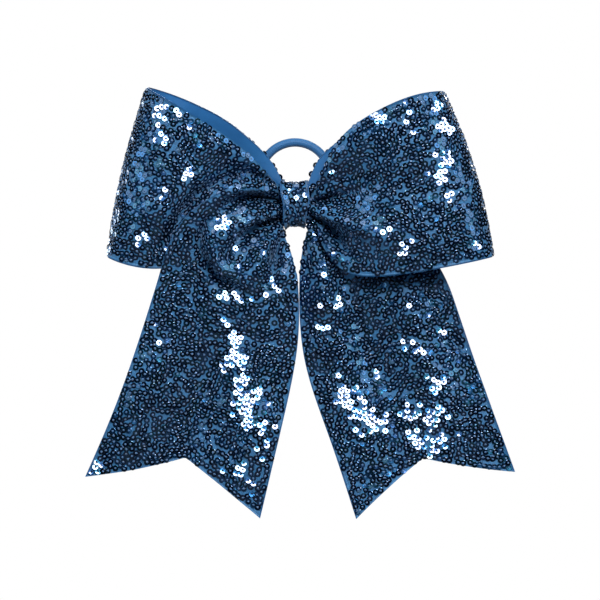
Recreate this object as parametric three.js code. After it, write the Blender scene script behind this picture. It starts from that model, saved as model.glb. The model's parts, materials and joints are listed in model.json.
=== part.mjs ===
// Cheer hair bow: one long sequinned ribbon folded into two loops and two swallow-tailed tails,
// gathered in the middle, bound with thread, wrapped by a short strip of the same ribbon, and
// held to a round elastic hair tie behind the knot.
// Millimetres. Seen from the front, +X is to the right, +Y into the hair and +Z up.
// The origin is on the flat back of the knot, where the bow rests against the ponytail.
import * as THREE from 'three';

// ---- Driving dimensions -------------------------------------------------------------------------
const gap = 0.3;                  // air kept between neighbouring pieces
const faceThickness = 0.9;        // sequins and the mesh that they are sewn to
const backingThickness = 0.6;     // plain satin ribbon behind the sequin mesh
const layerPitch = 2.7;           // from one gathered ribbon layer to the next inside the knot
const frontLayerY = -17.6;        // middle of the front layer: left tail and right loop's front
const middleLayerY = frontLayerY + layerPitch;   // left loop's front and right tail
const backLayerY = middleLayerY + layerPitch;    // the backs of both loops
const neckX = 9;                  // where loops and tails leave the knot and bend
const neckHalfHeight = 9;         // gathered ribbon, half of its height at the neck
const tailHingeZ = -34;           // the tails hang free below this height
const leftTailHingeY = -28;
const rightTailHingeY = -16;
const loopBulge = 3;              // each loop's front and back swell between its two edges
const notchShare = 0.2;           // depth of the swallow-tail notch as a share of the free tail
const pleatHalfHeight = 6.2;
const outerPleatHalfHeight = 5;   // the front and back pleats are squeezed shorter by the thread
const pleatHalfWidth = 5.4;
const pleatDepth = layerPitch - gap;
const wrapTopWidth = 12;          // the knot's strip is wider at the top than at the bottom
const wrapBottomWidth = 9;
const wrapHalfHeight = 8.6;       // middle of the strip's thickness
const wrapFrontY = -21.5;
const wrapInnerLapY = -3.75;
const wrapOuterLapY = -(gap / 2 + faceThickness);
const wrapCorner = 4.2;
const wrapLapStartZ = -4;         // the strip's hidden end, under the lap
const wrapLapEndZ = 4.2;
const lapGlueSize = [7, gap, 5];
const tieGlueWidth = 8;
const tieGlueHeight = 5;
const threadRadius = 0.4;
const threadTurns = 3;
const threadPitch = 1.3;
const tieRadius = 1.85;           // elastic cord of the hair tie
const tieY = -6.65;
const tieBaseZ = -3;
const tieBaseHalf = 8;            // half of the straight stretch held inside the knot
const tieLoopRadius = 15.15;      // middle of the cord round the crown of the loop
const tieCentreZ = 11.6;
const tieSides = 8;
const tieLegGap = 0.02;           // radians left out of the leg's quarter turn at each end
const tieJointHalf = 0.5;         // half of the glue between the cord's two ends

const blue = new THREE.Color(0.02, 0.09, 0.25);
const materials = {
  sequin: { color: blue, roughness: 0.25, metalness: 0.7 },
  satin: { color: new THREE.Color(0.03, 0.12, 0.31), roughness: 0.55, metalness: 0 },
  thread: { color: new THREE.Color(0.02, 0.06, 0.16), roughness: 0.8, metalness: 0 },
  elastic: { color: new THREE.Color(0.04, 0.14, 0.33), roughness: 0.7, metalness: 0 },
  glue: { color: new THREE.Color(0.85, 0.83, 0.74), roughness: 0.35, metalness: 0 },
};

function pieceMesh(name, geometry, materialName) {
  const mesh = new THREE.Mesh(geometry, new THREE.MeshStandardMaterial(materials[materialName]));
  mesh.name = name;
  return mesh;
}

// ---- Sheets of ribbon ---------------------------------------------------------------------------
function spline(points) {
  return new THREE.CatmullRomCurve3(points.map((p) => new THREE.Vector3(...p)), false, 'centripetal');
}

// Rows of points across the ribbon, between edgeA and edgeB, from share u0 to share u1 of them.
// A row bulges out of the straight line between its ends by bulge(u) at the middle.
function ribbonRows(edgeA, edgeB, { u0 = 0, u1 = 1, steps, across, bulge = () => 0, notch = 0 }) {
  const rows = [];
  for (let i = 0; i <= steps; i += 1) {
    const row = [];
    for (let j = 0; j <= across; j += 1) {
      const v = j / across;
      const centredness = 1 - Math.abs(2 * v - 1);
      const u = u0 + (u1 - u0) * (i / steps) * (1 - notch * centredness);
      const point = edgeA.getPoint(u).lerp(edgeB.getPoint(u), v);
      point.y += bulge(u) * Math.sin(Math.PI * v);
      row.push(point);
    }
    rows.push(row);
  }
  return rows;
}

function rowNormal(rows, i, j) {
  const before = rows[Math.max(i - 1, 0)][j];
  const after = rows[Math.min(i + 1, rows.length - 1)][j];
  const left = rows[i][Math.max(j - 1, 0)];
  const right = rows[i][Math.min(j + 1, rows[i].length - 1)];
  const along = after.clone().sub(before);
  return along.cross(right.clone().sub(left)).normalize();
}

function signedVolume(positions, index) {
  let volume = 0;
  for (let k = 0; k < index.length; k += 3) {
    const [a, b, c] = [index[k], index[k + 1], index[k + 2]].map((n) => positions[n]);
    volume += a.dot(b.clone().cross(c));
  }
  return volume;
}

// A closed sheet between the offsets low and high from the rows, measured along their normals.
function sheetSolid(rows, low, high) {
  const steps = rows.length;
  const across = rows[0].length;
  const positions = [];
  for (const offset of [low, high]) {
    for (let i = 0; i < steps; i += 1) {
      for (let j = 0; j < across; j += 1) {
        positions.push(rows[i][j].clone().addScaledVector(rowNormal(rows, i, j), offset));
      }
    }
  }
  const lower = (i, j) => i * across + j;
  const upper = (i, j) => steps * across + lower(i, j);
  const index = [];
  const quad = (a, b, c, d) => index.push(a, b, c, a, c, d);
  for (let i = 0; i < steps - 1; i += 1) {
    for (let j = 0; j < across - 1; j += 1) {
      quad(upper(i, j), upper(i + 1, j), upper(i + 1, j + 1), upper(i, j + 1));
      quad(lower(i, j), lower(i, j + 1), lower(i + 1, j + 1), lower(i + 1, j));
    }
    quad(lower(i, 0), lower(i + 1, 0), upper(i + 1, 0), upper(i, 0));
    quad(lower(i + 1, across - 1), lower(i, across - 1), upper(i, across - 1), upper(i + 1, across - 1));
  }
  for (let j = 0; j < across - 1; j += 1) {
    quad(lower(0, j + 1), lower(0, j), upper(0, j), upper(0, j + 1));
    quad(lower(steps - 1, j), lower(steps - 1, j + 1), upper(steps - 1, j + 1), upper(steps - 1, j));
  }
  if (signedVolume(positions, index) < 0) index.reverse();
  const geometry = new THREE.BufferGeometry().setFromPoints(positions);
  geometry.setIndex(index);
  geometry.computeVertexNormals();
  return geometry;
}

// The sequin face on one side of the rows and the plain backing on the other.
// outward is +1 where the rows' normals point out of the sequinned side, and -1 where they don't.
function ribbonPieces(name, rows, outward) {
  const near = outward * gap / 2;
  return [
    pieceMesh(`${name}_sequin_face`, sheetSolid(rows, near, near + outward * faceThickness), 'sequin'),
    pieceMesh(`${name}_backing`, sheetSolid(rows, -near, -near - outward * backingThickness), 'satin'),
  ];
}

// ---- Loops --------------------------------------------------------------------------------------
// Each edge runs from the front of the neck, round the end of the loop, to the back of the neck.
const leftLoopTop = spline([
  [-neckX, middleLayerY, neckHalfHeight],
  [-16, -17.5, 18],
  [-26, -22, 26.5],
  [-45, -29, 38.5],
  [-58, -27, 46.5],
  [-63.5, -15, 50],
  [-58, -3.5, 49],
  [-45, -3, 43.5],
  [-28, -8.5, 34.5],
  [-17, -12.4, 25.5],
  [-neckX, backLayerY, 15],
]);
const leftLoopBottom = spline([
  [-neckX, middleLayerY, -neckHalfHeight],
  [-20, -17.5, -15],
  [-36, -20.5, -22],
  [-58, -24.5, -27.5],
  [-74, -23.5, -25.5],
  [-80.5, -15, -23],
  [-74, -6, -24.5],
  [-58, -4, -26.5],
  [-36, -8.5, -22],
  [-20, -12.6, -15],
  [-neckX, backLayerY, -neckHalfHeight],
]);
const rightLoopTop = spline([
  [neckX, frontLayerY, 14],
  [15.5, -20.5, 25],
  [25, -25, 33.5],
  [41, -31, 43],
  [56, -29, 48],
  [64, -15, 48.5],
  [56, -3.5, 46],
  [41, -3, 40],
  [27, -8.5, 32],
  [15, -12.4, 22],
  [neckX, backLayerY, 14],
]);
const rightLoopBottom = spline([
  [neckX, frontLayerY, -neckHalfHeight],
  [20, -22, -24],
  [36, -26, -31.5],
  [58, -28, -28.5],
  [76, -25, -25],
  [83.5, -15, -22.5],
  [76, -6, -24],
  [58, -4, -26.5],
  [36, -8.5, -24],
  [20, -12.6, -16],
  [neckX, backLayerY, -neckHalfHeight],
]);

// ---- Tails --------------------------------------------------------------------------------------
// Control point tailHingeIndex of every tail edge lies on the tail's hinge line.
const tailHingeIndex = 4;
const tailControlCount = 8;
const tailHingeShare = tailHingeIndex / (tailControlCount - 1);
const shareAboveHinge = 0.014;    // ribbon left out above and below the hinge line, so that
const shareBelowHinge = 0.006;    // the two parts of a tail clear each other as it swings
const leftTailOuter = spline([
  [-neckX, frontLayerY, neckHalfHeight],
  [-26, -28, 8],
  [-43, -31.5, -2],
  [-53.5, -30.5, -17],
  [-59.2, leftTailHingeY, tailHingeZ],
  [-67.5, -26, -60],
  [-78, -24.5, -89],
  [-90, -24, -117],
]);
const leftTailInner = spline([
  [-6.2, frontLayerY, -12.4],
  [-5.7, -18.8, -15],
  [-3.9, -21.5, -19.5],
  [-1.4, -25.5, -26],
  [1.2, leftTailHingeY, tailHingeZ],
  [1.2, -26, -60],
  [-6, -24.5, -97],
  [-16, -24, -134.5],
]);
const rightTailOuter = spline([
  [neckX, middleLayerY, neckHalfHeight],
  [26, -15.5, 8],
  [43, -16, -3],
  [55.5, -16, -18],
  [65.5, rightTailHingeY, tailHingeZ],
  [74.5, -16, -60],
  [85, -17, -89],
  [94.5, -18, -115],
]);
const rightTailInner = spline([
  [6.2, middleLayerY, -12.4],
  [5.8, -15.1, -15],
  [4.6, -15.4, -19.5],
  [3, -15.8, -26],
  [2.1, rightTailHingeY, tailHingeZ],
  [2.4, -16, -60],
  [14, -17, -97],
  [26.5, -18, -135],
]);

function loopPieces(name, top, bottom, outward) {
  const bulge = (u) => -loopBulge * Math.sin(2 * Math.PI * u);
  const rows = ribbonRows(top, bottom, { steps: 26, across: 5, bulge });
  return ribbonPieces(name, rows, outward);
}

function tailUpperPieces(name, outer, inner, outward) {
  const rows = ribbonRows(outer, inner, { u1: tailHingeShare - shareAboveHinge, steps: 9, across: 5 });
  return ribbonPieces(name, rows, outward);
}

function tailFreePieces(name, outer, inner, outward) {
  const shape = { u0: tailHingeShare + shareBelowHinge, steps: 8, across: 6, notch: notchShare };
  return ribbonPieces(name, ribbonRows(outer, inner, shape), outward);
}

// ---- Knot ---------------------------------------------------------------------------------------
// A line through corners (y, z), each corner but the ends rounded with an arc of the given radius.
function roundedLine(corners, radius, arcSteps) {
  const points = [new THREE.Vector2(...corners[0])];
  for (let k = 1; k < corners.length - 1; k += 1) {
    const corner = new THREE.Vector2(...corners[k]);
    const from = new THREE.Vector2(...corners[k - 1]).sub(corner).setLength(radius).add(corner);
    const to = new THREE.Vector2(...corners[k + 1]).sub(corner).setLength(radius).add(corner);
    points.push(...new THREE.QuadraticBezierCurve(from, corner, to).getPoints(arcSteps));
  }
  points.push(new THREE.Vector2(...corners[corners.length - 1]));
  return points;
}

// The strip starts under its own outer end at the back, and goes over the top and down the front.
function wrapRows() {
  const corners = [
    [wrapInnerLapY, wrapLapStartZ],
    [wrapInnerLapY, wrapHalfHeight],
    [wrapFrontY, wrapHalfHeight],
    [wrapFrontY, -wrapHalfHeight],
    [wrapOuterLapY, -wrapHalfHeight],
    [wrapOuterLapY, wrapLapEndZ],
  ];
  return roundedLine(corners, wrapCorner, 5).map(({ x: y, y: z }) => {
    const heightShare = (z + wrapHalfHeight) / (2 * wrapHalfHeight);
    const half = THREE.MathUtils.lerp(wrapBottomWidth, wrapTopWidth, heightShare) / 2;
    return [-half, half].map((x) => new THREE.Vector3(x, y, z));
  });
}

function block(name, size, centre, materialName) {
  const mesh = pieceMesh(name, new THREE.BoxGeometry(...size), materialName);
  mesh.position.set(...centre);
  return mesh;
}

function pleats(name, y, halfHeight) {
  const size = [2 * pleatHalfWidth, pleatDepth, 2 * halfHeight];
  return block(name, size, [0, y, 0], 'satin');
}

// A tube of round section along a curve, with flat ends.
function tube(name, curve, radius, steps, sides, materialName) {
  const section = new THREE.Shape();
  for (let k = 0; k < sides; k += 1) {
    const angle = (2 * Math.PI * k) / sides;
    const place = [radius * Math.cos(angle), radius * Math.sin(angle)];
    if (k === 0) section.moveTo(...place);
    else section.lineTo(...place);
  }
  const options = { extrudePath: curve, steps, bevelEnabled: false };
  return pieceMesh(name, new THREE.ExtrudeGeometry(section, options), materialName);
}

const threadHalfDepth = (backLayerY - frontLayerY + pleatDepth) / 2 + 2 * gap + threadRadius;
const threadHalfHeight = pleatHalfHeight + gap + threadRadius;

class ThreadTurns extends THREE.Curve {
  getPoint(t, target = new THREE.Vector3()) {
    const angle = 2 * Math.PI * threadTurns * t;
    const squareness = 6;
    const [c, s] = [Math.cos(angle), Math.sin(angle)];
    const stretch = (Math.abs(c) ** squareness + Math.abs(s) ** squareness) ** (-1 / squareness);
    const x = threadPitch * threadTurns * (t - 0.5);
    const y = middleLayerY + threadHalfDepth * c * stretch;
    return target.set(x, y, threadHalfHeight * s * stretch);
  }
}

function knotPieces() {
  const wrap = wrapRows();
  const threadBackY = middleLayerY + threadHalfDepth + threadRadius;
  const tieFrontY = tieY - tieRadius;
  const padY = (threadBackY + tieFrontY) / 2;
  const padSize = [tieGlueWidth, tieFrontY - threadBackY - 2 * gap, tieGlueHeight];
  const lapGlueY = (wrapOuterLapY - backingThickness + wrapInnerLapY + faceThickness) / 2;
  return [
    ...ribbonPieces('knot_wrap', wrap, 1),
    block('knot_wrap_glue', lapGlueSize, [0, lapGlueY, 0], 'glue'),
    pleats('front_pleats', frontLayerY, outerPleatHalfHeight),
    pleats('middle_pleats', middleLayerY, pleatHalfHeight),
    pleats('back_pleats', backLayerY, outerPleatHalfHeight),
    tube('binding_thread', new ThreadTurns(), threadRadius, 20 * threadTurns, 5, 'thread'),
    block('hair_tie_glue_pad', padSize, [0, padY, tieBaseZ], 'glue'),
  ];
}

// ---- Hair tie -----------------------------------------------------------------------------------
function straightTie(name, x0, x1) {
  const ends = [x0, x1].map((x) => new THREE.Vector3(x, tieY, tieBaseZ));
  return tube(name, new THREE.LineCurve3(...ends), tieRadius, 1, tieSides, 'elastic');
}

class TieLeg extends THREE.Curve {
  constructor(side) {
    super();
    this.side = side;
  }

  getPoint(t, target = new THREE.Vector3()) {
    const angle = tieLegGap + (Math.PI / 2 - 2 * tieLegGap) * t;
    const x = tieBaseHalf + (tieLoopRadius - tieBaseHalf) * Math.sin(angle);
    const z = tieCentreZ - (tieCentreZ - tieBaseZ) * Math.cos(angle);
    return target.set(this.side * x, tieY, z);
  }
}

class TieCrown extends THREE.Curve {
  getPoint(t, target = new THREE.Vector3()) {
    const angle = Math.PI * t;
    const z = tieCentreZ + tieLoopRadius * Math.sin(angle);
    return target.set(tieLoopRadius * Math.cos(angle), tieY, z);
  }
}

function hairTiePieces() {
  return [
    straightTie('hair_tie_left_end', -tieBaseHalf, -tieJointHalf - gap),
    straightTie('hair_tie_end_joint', -tieJointHalf, tieJointHalf),
    straightTie('hair_tie_right_end', tieJointHalf + gap, tieBaseHalf),
    tube('hair_tie_left_leg', new TieLeg(-1), tieRadius, 8, tieSides, 'elastic'),
    tube('hair_tie_right_leg', new TieLeg(1), tieRadius, 8, tieSides, 'elastic'),
    tube('hair_tie_crown', new TieCrown(), tieRadius, 18, tieSides, 'elastic'),
  ];
}

const group = new THREE.Group();
group.add(
  ...knotPieces(),
  ...hairTiePieces(),
  ...loopPieces('left_loop', leftLoopTop, leftLoopBottom, 1),
  ...loopPieces('right_loop', rightLoopTop, rightLoopBottom, -1),
  ...tailUpperPieces('left_tail_upper', leftTailOuter, leftTailInner, 1),
  ...tailFreePieces('left_tail', leftTailOuter, leftTailInner, 1),
  ...tailUpperPieces('right_tail_upper', rightTailOuter, rightTailInner, -1),
  ...tailFreePieces('right_tail', rightTailOuter, rightTailInner, -1),
);
export default group;
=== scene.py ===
"""Cheer hair bow: sequinned ribbon in two loops and two swallow-tailed tails, a wrapped knot and a hair tie.

Lengths in this script are millimetres in the frame of the CAD model.
to_metres() turns them into Blender's metres.
"""

import json
import math
import random

import bpy
import numpy as np
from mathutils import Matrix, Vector


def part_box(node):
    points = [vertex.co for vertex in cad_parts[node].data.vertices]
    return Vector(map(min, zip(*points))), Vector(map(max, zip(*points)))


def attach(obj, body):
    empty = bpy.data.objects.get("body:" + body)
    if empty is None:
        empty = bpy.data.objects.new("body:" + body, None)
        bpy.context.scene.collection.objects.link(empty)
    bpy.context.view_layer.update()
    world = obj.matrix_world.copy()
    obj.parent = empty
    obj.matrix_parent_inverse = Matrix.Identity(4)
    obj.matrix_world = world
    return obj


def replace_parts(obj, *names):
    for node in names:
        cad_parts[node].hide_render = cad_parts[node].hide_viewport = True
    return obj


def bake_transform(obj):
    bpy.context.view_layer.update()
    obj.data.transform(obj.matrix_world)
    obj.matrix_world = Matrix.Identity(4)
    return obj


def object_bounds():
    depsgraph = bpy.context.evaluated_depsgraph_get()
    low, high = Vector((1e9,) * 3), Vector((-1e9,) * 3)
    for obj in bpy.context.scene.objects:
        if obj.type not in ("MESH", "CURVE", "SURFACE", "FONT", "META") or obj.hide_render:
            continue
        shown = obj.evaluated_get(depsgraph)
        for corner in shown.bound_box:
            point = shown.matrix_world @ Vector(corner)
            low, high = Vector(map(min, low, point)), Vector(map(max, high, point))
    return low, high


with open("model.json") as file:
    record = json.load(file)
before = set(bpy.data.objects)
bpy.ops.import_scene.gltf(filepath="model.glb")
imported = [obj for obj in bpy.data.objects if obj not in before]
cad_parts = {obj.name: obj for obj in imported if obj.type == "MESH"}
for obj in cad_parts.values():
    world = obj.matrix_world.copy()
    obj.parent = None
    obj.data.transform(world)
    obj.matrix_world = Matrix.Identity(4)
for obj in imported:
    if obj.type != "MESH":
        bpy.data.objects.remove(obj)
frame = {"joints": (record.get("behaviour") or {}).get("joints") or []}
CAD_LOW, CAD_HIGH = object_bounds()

MM = 0.001
RIBBON_WIDTH = 75
SEQUIN_RADIUS = 1.37
SEQUIN_HOLE = 0.48
SEQUIN_STEP = 2.15  # from one sequin to the next along its line of stitches
SEQUIN_SPACING = 2.22  # between sequins of neighbouring lines
SEQUIN_CROWDING = 1.92  # the same where a last few sequins fill what the lines left bare
FABRIC_THICKNESS = 0.4
BACKING_THICKNESS = 0.45
LAYER_GAP = 0.1
LAYER_STEP = 1.7  # between the middles of two layers of ribbon that lie on each other, sequins included
HELD_REACH = 4.8  # from the knot's middle to where the ribbon starts to be uneven
FREE_REACH = 40  # from there to where it is fully so
FOLD_LEAN = 0.27  # how far a fold leans downwards, as a share of its depth
FACE_LIFT = 0.5 * LAYER_GAP + FABRIC_THICKNESS  # from a strip's middle to the face that carries the sequins


def node_box(node):
    """A CAD node's lowest and highest corners, in millimetres."""
    low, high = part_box(node)
    return np.array(low) / MM, np.array(high) / MM


# ---- Places taken from the frame ----
WRAP_LOW, WRAP_HIGH = node_box("knot_wrap_sequin_face")
FRONT_LAYER_Y = sum(node_box("front_pleats"))[1] / 2
MIDDLE_LAYER_Y = sum(node_box("middle_pleats"))[1] / 2
BACK_LAYER_Y = sum(node_box("back_pleats"))[1] / 2
TAIL_HINGE_Z = {j["name"]: j["pos_m"][2] / MM for j in frame["joints"] if "pos_m" in j}["left_tail_swing"]


# ---- Numbers along a line ----
def cubic(points, shares):
    """A natural cubic spline through evenly weighted points, at shares 0 to 1 of the way along it."""
    p = np.array(points, float)
    count = len(p)
    system = np.zeros((count, count))
    right = np.zeros_like(p)
    system[0, :2] = (2, 1)
    right[0] = 3 * (p[1] - p[0])
    for i in range(1, count - 1):
        system[i, i - 1 : i + 2] = (1, 4, 1)
        right[i] = 3 * (p[i + 1] - p[i - 1])
    system[-1, -2:] = (1, 2)
    right[-1] = 3 * (p[-1] - p[-2])
    slope = np.linalg.solve(system, right)
    at = np.clip(np.asarray(shares, float), 0, 1) * (count - 1)
    k = np.minimum(at.astype(int), count - 2)
    t = (at - k)[..., None]
    a, b, da, db = p[k], p[k + 1], slope[k], slope[k + 1]
    return a + da * t + (3 * (b - a) - 2 * da - db) * t**2 + (2 * (a - b) + da + db) * t**3


def even_shares(edge_a, edge_b, count):
    """Shares that are evenly spaced in millimetres along the line midway between two edges."""
    fine = np.linspace(0, 1, 600)
    line = (cubic(edge_a, fine) + cubic(edge_b, fine)) / 2
    length = np.concatenate([[0], np.cumsum(np.linalg.norm(np.diff(line, axis=0), axis=1))])
    return np.interp(np.linspace(0, length[-1], count), length, fine)


def smooth_noise(xyz, scale, seed):
    """A sum of seeded sine waves, about -1 to 1, whose waves are about scale long."""
    rng = np.random.RandomState(seed)
    total = np.zeros(xyz.shape[:-1])
    waves = 7
    for _ in range(waves):
        direction = rng.normal(size=3)
        direction /= np.linalg.norm(direction)
        turn = 2 * math.pi / (scale * rng.uniform(0.7, 1.6))
        total += np.sin(xyz @ direction * turn + rng.uniform(0, 2 * math.pi))
    return total / math.sqrt(waves)


# ---- Strips of ribbon ----
def fold_depth(xyz, fold):
    """How far a fold moves the points along Y: it follows fold's points (x, z, depth, width)."""
    line = cubic(fold, np.linspace(0, 1, 60))
    x, z, depth, width = line.T
    near = ((xyz[..., 0, None] - x) ** 2 + (xyz[..., 2, None] - z) ** 2) / np.maximum(width, 0.5) ** 2
    best = near.argmin(-1)
    closest = np.take_along_axis(near, best[..., None], -1)[..., 0]
    return depth[best] * np.exp(-closest)


class Strip:
    """The middle surface of a strip of ribbon, on a grid of points from edge a to edge b."""

    def __init__(self, grid, outward):
        self.grid = grid
        along = np.gradient(grid, axis=0)
        across = np.gradient(grid, axis=1)
        normal = np.cross(along, across) * outward
        size = np.linalg.norm(normal, axis=-1, keepdims=True)
        self.normal = normal / np.maximum(size, 1e-9)
        self.outward = outward
        self.rows, self.columns = grid.shape[:2]
        self.along = along * (self.rows - 1)
        self.across = across * (self.columns - 1)

    def lengths(self):
        """The strip's mean length and mean width."""
        steps = np.linalg.norm(np.diff(self.grid, axis=0), axis=-1).sum(0).mean()
        width = np.linalg.norm(np.diff(self.grid, axis=1), axis=-1).sum(1).mean()
        return steps, width


def strip_grid(edge_a, edge_b, rows, columns, notch=0.0, notch_from=0.6, swell=None):
    """Points between two edges. The far end is cut back towards its middle by notch, a share of length."""
    share = even_shares(edge_a, edge_b, rows)[:, None]
    v = np.linspace(0, 1, columns)[None, :]
    centred = 1 - np.abs(2 * v - 1)
    pull = np.clip((share - notch_from) / (1 - notch_from), 0, 1)
    u = share - notch * centred * pull
    a = cubic(edge_a, u)
    b = cubic(edge_b, u)
    grid = a + (b - a) * v[..., None]
    if swell is not None:
        grid += swell(np.linspace(0, 1, rows)[:, None]) * np.sin(math.pi * v)[..., None]
    return grid


def add_fold(grid, fold, fade=1.0):
    """Pushes a fold into a strip. Ridges hang a little over the valley below them."""
    depth = fold_depth(grid, fold) * fade
    grid[..., 1] += depth
    grid[..., 2] += FOLD_LEAN * depth


def add_relief(grid, folds, waves, seed):
    """Folds, and soft unevenness that dies away where the strip is held by the knot."""
    for fold in folds:
        add_fold(grid, fold)
    away = np.clip((np.hypot(grid[..., 0], grid[..., 2]) - HELD_REACH) / FREE_REACH, 0, 1)
    grid[..., 1] += waves * away * (smooth_noise(grid, 46, seed) + 0.45 * smooth_noise(grid, 19, seed + 1))
    return grid


def lay_behind(grid, *fronts, share=1.0):
    """Pushes a layer of ribbon back, by share, where it would meet the layers in front of it."""
    cell, soft = 1.5, 0.5
    points = np.concatenate([front.reshape(-1, 3) for front in fronts])
    corner = np.floor(points[:, ::2].min(0) / cell) - 3
    size = (np.ceil(points[:, ::2].max(0) / cell) - corner + 4).astype(int)
    rear = np.full(size, -60.0)
    place = (points[:, ::2] / cell - corner).round().astype(int)
    np.maximum.at(rear, (place[:, 0], place[:, 1]), points[:, 1])
    for axis in (0, 1):
        rear = np.maximum(rear, np.maximum(np.roll(rear, 1, axis), np.roll(rear, -1, axis)))
    for axis in (0, 1):
        rear = 0.5 * rear + 0.25 * (np.roll(rear, 1, axis) + np.roll(rear, -1, axis))
    at = np.clip(grid[..., ::2] / cell - corner, 0, size - 1.001)
    i, j = at[..., 0].astype(int), at[..., 1].astype(int)
    s, t = at[..., 0] - i, at[..., 1] - j
    near = (rear[i, j] * (1 - s) + rear[i + 1, j] * s) * (1 - t)
    near += (rear[i, j + 1] * (1 - s) + rear[i + 1, j + 1] * s) * t
    grid[..., 1] += share * soft * np.logaddexp(0, (near + LAYER_STEP - grid[..., 1]) / soft)


# ---- Meshes ----
def to_metres(points):
    return np.asarray(points, np.float32) * MM


def new_mesh(name, vertices, faces, uvs=None, material_index=None):
    """A mesh object from points in millimetres and an array of faces that all have the same corner count."""
    faces = np.asarray(faces, np.int32)
    corners = faces.shape[1]
    mesh = bpy.data.meshes.new(name)
    mesh.vertices.add(len(vertices))
    mesh.vertices.foreach_set("co", to_metres(vertices).ravel())
    mesh.loops.add(faces.size)
    mesh.loops.foreach_set("vertex_index", faces.ravel())
    mesh.polygons.add(len(faces))
    mesh.polygons.foreach_set("loop_start", np.arange(0, faces.size, corners, dtype=np.int32))
    mesh.polygons.foreach_set("use_smooth", [True] * len(faces))
    if material_index is not None:
        mesh.polygons.foreach_set("material_index", np.asarray(material_index, np.int32))
    mesh.update(calc_edges=True)
    if uvs is not None:
        layer = mesh.uv_layers.new(name="ribbon")
        layer.data.foreach_set("uv", np.asarray(uvs, np.float32)[faces.ravel()].ravel())
    mesh.validate()
    piece = bpy.data.objects.new(name, mesh)
    bpy.context.scene.collection.objects.link(piece)
    return piece


def slab(name, strip, low, high, inset=0.0):
    """A closed sheet between two offsets from a strip's middle surface, less inset on each side."""
    grid, normal = strip.grid, strip.normal
    rows, columns = strip.rows, strip.columns
    if inset:
        share = inset / strip.lengths()[1]
        v = np.clip(np.linspace(share, 1 - share, columns), 0, 1) * (columns - 1)
        k = np.minimum(v.astype(int), columns - 2)
        t = (v - k)[None, :, None]
        grid = grid[:, k] * (1 - t) + grid[:, k + 1] * t
        normal = normal[:, k] * (1 - t) + normal[:, k + 1] * t
    lower = (grid + normal * low).reshape(-1, 3)
    upper = (grid + normal * high).reshape(-1, 3)
    index = np.arange(rows * columns).reshape(rows, columns)
    a, b, c, d = index[:-1, :-1], index[1:, :-1], index[1:, 1:], index[:-1, 1:]
    walls = []
    for line in (index[:, 0][::-1], index[:, -1], index[0, :], index[-1, :][::-1]):
        start, end = line[:-1], line[1:]
        walls.append(np.stack([start, end, end + rows * columns, start + rows * columns], -1))
    faces = np.concatenate(
        [
            np.stack([a, d, c, b], -1).reshape(-1, 4),
            np.stack([a, b, c, d], -1).reshape(-1, 4) + rows * columns,
            np.concatenate(walls),
        ]
    )
    if strip.outward < 0:
        faces = faces[:, ::-1]
    length, width = strip.lengths()
    u = np.repeat(np.linspace(0, length, rows), columns)
    v = np.tile(np.linspace(0, width, columns), rows)
    uv = np.tile(np.stack([u, v], -1), (2, 1)) * MM
    return new_mesh(name, np.concatenate([lower, upper]), faces, uv)


def tube(path, radius, sides):
    """The points, faces and UVs of an open tube round a path; radius is one number or one for each point."""
    path = np.asarray(path, float)
    count = len(path)
    radii = np.broadcast_to(np.asarray(radius, float), (count,))
    tangent = np.gradient(path, axis=0)
    tangent /= np.linalg.norm(tangent, axis=1, keepdims=True)
    side = np.zeros_like(path)
    guess = np.array([0.0, 1.0, 0.0]) if abs(tangent[0][1]) < 0.9 else np.array([1.0, 0.0, 0.0])
    for i in range(count):
        guess = guess - tangent[i] * (guess @ tangent[i])
        guess /= np.linalg.norm(guess)
        side[i] = guess
    other = np.cross(tangent, side)
    angle = np.linspace(0, 2 * math.pi, sides, endpoint=False)
    ring = side[:, None] * np.cos(angle)[None, :, None] + other[:, None] * np.sin(angle)[None, :, None]
    vertices = (path[:, None] + ring * radii[:, None, None]).reshape(-1, 3)
    index = np.arange(count * sides).reshape(count, sides)
    following = np.roll(index, -1, 1)
    faces = np.stack([index[:-1], following[:-1], following[1:], index[1:]], -1).reshape(-1, 4)
    length = np.concatenate([[0], np.cumsum(np.linalg.norm(np.diff(path, axis=0), axis=1))])
    uv = np.stack([np.repeat(length, sides), np.tile(angle * radii.mean(), count)], -1) * MM
    return vertices, faces, uv


def tube_piece(name, path, radius, sides):
    """A tube with closed ends as one object."""
    vertices, quads, uv = tube(path, radius, sides)
    first, final = np.arange(sides), np.arange(sides) + len(vertices) - sides
    start, end = len(vertices), len(vertices) + 1
    triangles = np.concatenate(
        [
            np.stack([np.full(sides, start), np.roll(first, -1), first], -1),
            np.stack([np.full(sides, end), final, np.roll(final, -1)], -1),
        ]
    )
    vertices = np.concatenate([vertices, [path[0], path[-1]]])
    uv = np.concatenate([uv, uv[[0, -1]]])
    mesh = bpy.data.meshes.new(name)
    mesh.from_pydata(to_metres(vertices).tolist(), [], quads.tolist() + triangles.tolist())
    layer = mesh.uv_layers.new(name="ribbon")
    order = np.concatenate([quads.ravel(), triangles.ravel()])
    layer.data.foreach_set("uv", uv[order].astype(np.float32).ravel())
    mesh.polygons.foreach_set("use_smooth", [True] * len(mesh.polygons))
    mesh.update()
    piece = bpy.data.objects.new(name, mesh)
    bpy.context.scene.collection.objects.link(piece)
    return piece


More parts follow.
